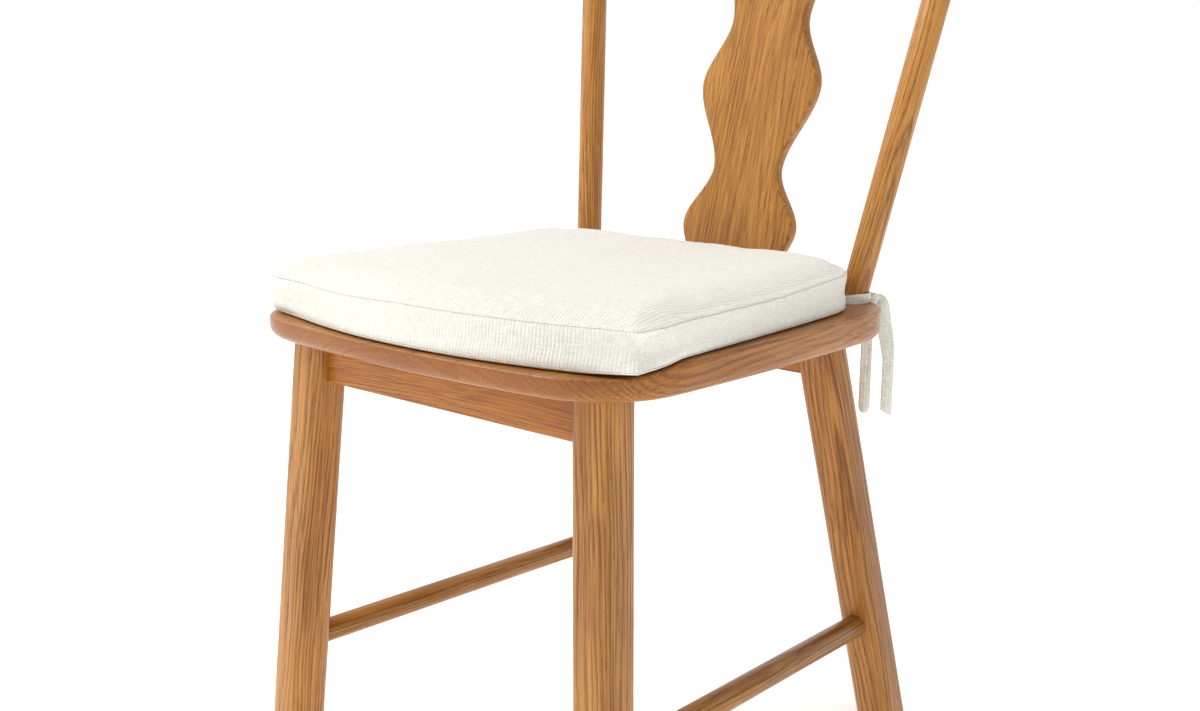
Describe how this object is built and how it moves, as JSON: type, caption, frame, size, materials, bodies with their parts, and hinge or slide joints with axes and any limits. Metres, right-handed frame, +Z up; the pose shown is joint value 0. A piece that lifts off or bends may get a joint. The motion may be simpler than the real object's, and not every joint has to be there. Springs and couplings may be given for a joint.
{
  "type": "dining side chair",
  "caption": "Oak dining side chair with a scooped solid seat, splayed legs, round posts, a vase-shaped splat, a bowed crest rail and a tied seat cushion.",
  "frame": {"origin": "on the floor under the middle of the chair's bounding box", "axes": "+Z up, the chair faces -Y, +X is on the right of a viewer who looks at its front"},
  "size_m": [0.4898, 0.5665, 0.824],
  "materials": {
    "oak_seat": "satin clear lacquer over honey oak",
    "oak_frame": "satin clear lacquer over honey oak",
    "oak_back": "satin clear lacquer over honey oak",
    "linen": "slubby plain weave, ivory",
    "foam": "open-cell foam",
    "zip_nylon": "woven nylon tape",
    "glide_nylon": "moulded nylon",
    "screw_steel": "zinc plated"
  },
  "bodies": {
    "root": {"apron_screw_front_left": "screw_steel", "apron_screw_front_middle": "screw_steel", "apron_screw_front_right": "screw_steel", "apron_screw_rear_left": "screw_steel", "apron_screw_rear_middle": "screw_steel", "apron_screw_rear_right": "screw_steel", "back_post_left": "oak_back", "back_post_right": "oak_back", "back_splat": "oak_back", "crest_rail": "oak_back", "cushion_cover": "linen", "cushion_foam": "foam", "cushion_tie_left": "linen", "cushion_tie_right": "linen", "cushion_zip_slider": "screw_steel", "cushion_zip_tape": "zip_nylon", "foot_glide_front_left": "glide_nylon", "foot_glide_front_right": "glide_nylon", "foot_glide_rear_left": "glide_nylon", "foot_glide_rear_right": "glide_nylon", "front_apron": "oak_frame", "front_leg_left": "oak_frame", "front_leg_right": "oak_frame", "rear_apron": "oak_frame", "rear_leg_left": "oak_frame", "rear_leg_right": "oak_frame", "seat_panel": "oak_seat", "side_stretcher_left": "oak_frame", "side_stretcher_right": "oak_frame", "tie_knot_left": "linen", "tie_knot_right": "linen", "tie_tail_inner_left": "linen", "tie_tail_inner_right": "linen", "tie_tail_long_left": "linen", "tie_tail_long_right": "linen", "tie_tail_short_left": "linen", "tie_tail_short_right": "linen"}
  },
  "joints": []
}
